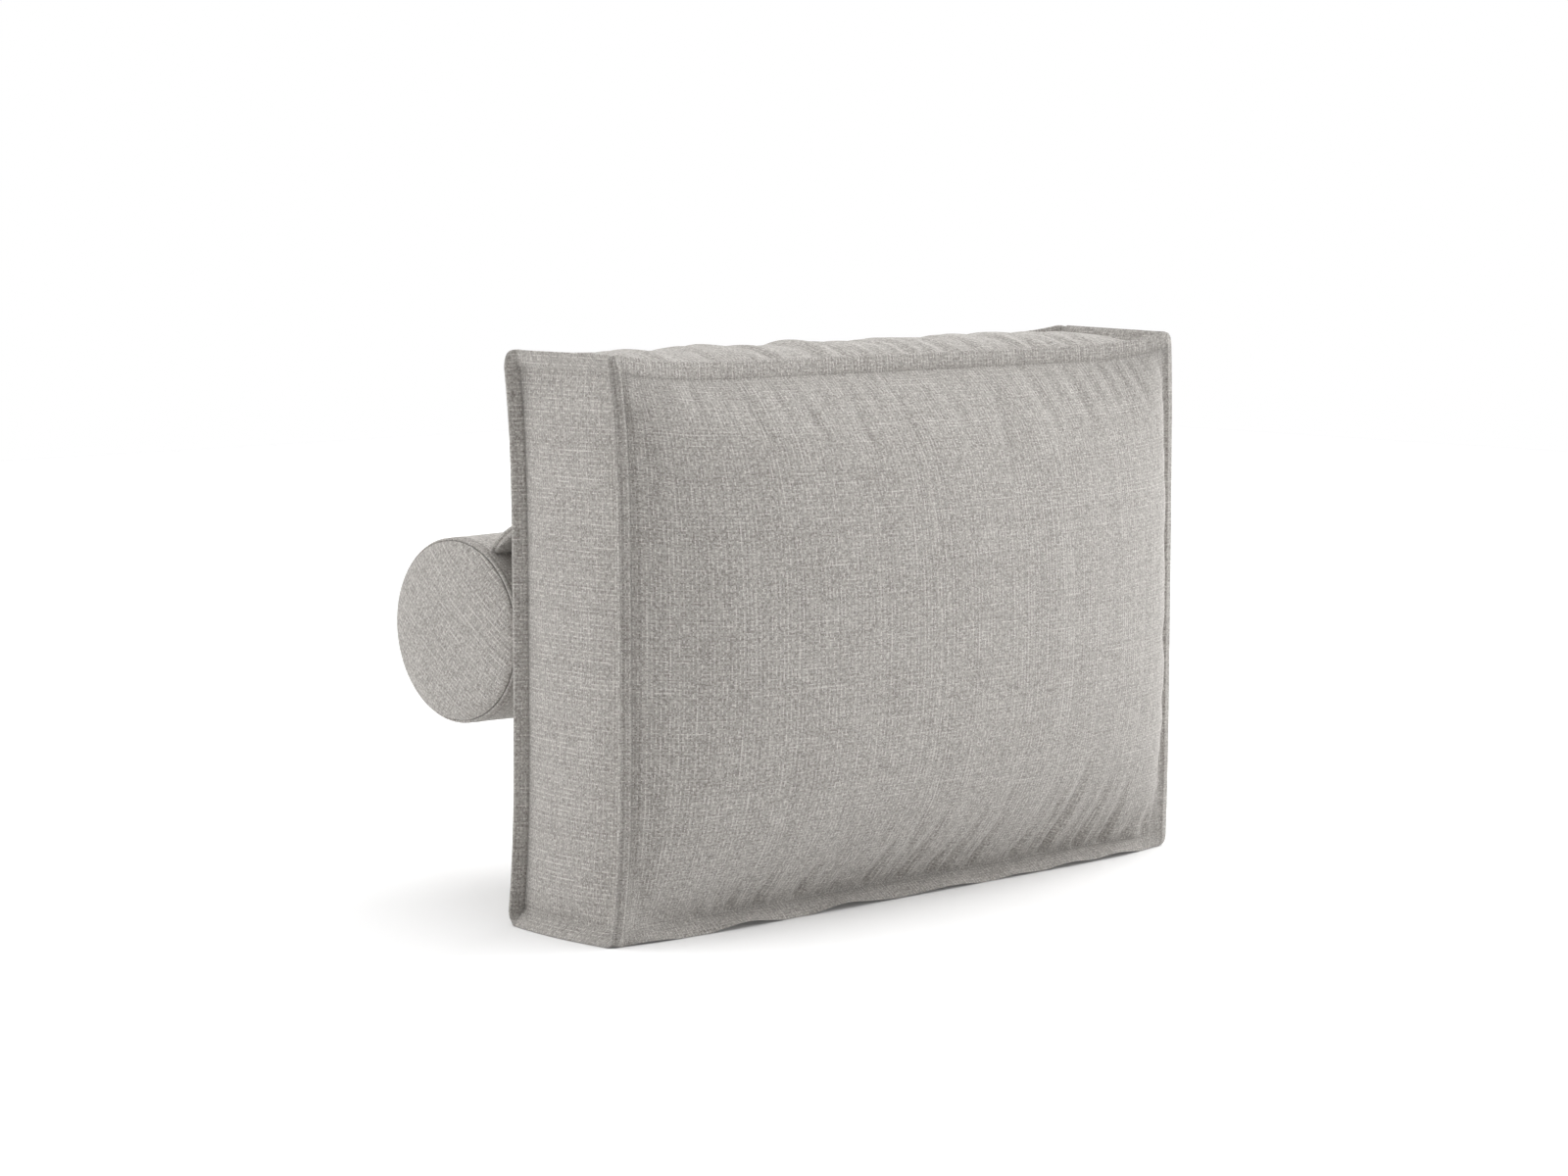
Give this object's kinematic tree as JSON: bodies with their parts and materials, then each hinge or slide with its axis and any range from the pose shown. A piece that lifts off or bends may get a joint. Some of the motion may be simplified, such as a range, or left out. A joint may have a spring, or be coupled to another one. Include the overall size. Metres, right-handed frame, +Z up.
{
  "type": "back cushion",
  "caption": "Standing box back cushion in slub weave with flanged seams, and a welted bolster roll joined to its back by a padded flap.",
  "frame": {"origin": "middle of the cushion's base between its front and back rims, on the surface that it stands on", "axes": "+X along the width, +Y from the crowned front towards the back and the bolster, +Z up"},
  "size_m": [0.863, 0.5096, 0.6],
  "materials": {
    "cushion_cloth": "matte slub weave",
    "roll_cloth": "matte slub weave",
    "welt_cloth": "matte slub weave",
    "flap_cloth": "matte slub weave"
  },
  "bodies": {
    "root": {"back_cushion": "cushion_cloth", "bolster": "roll_cloth", "welt_left": "welt_cloth", "welt_right": "welt_cloth", "flap": "flap_cloth"}
  },
  "joints": []
}
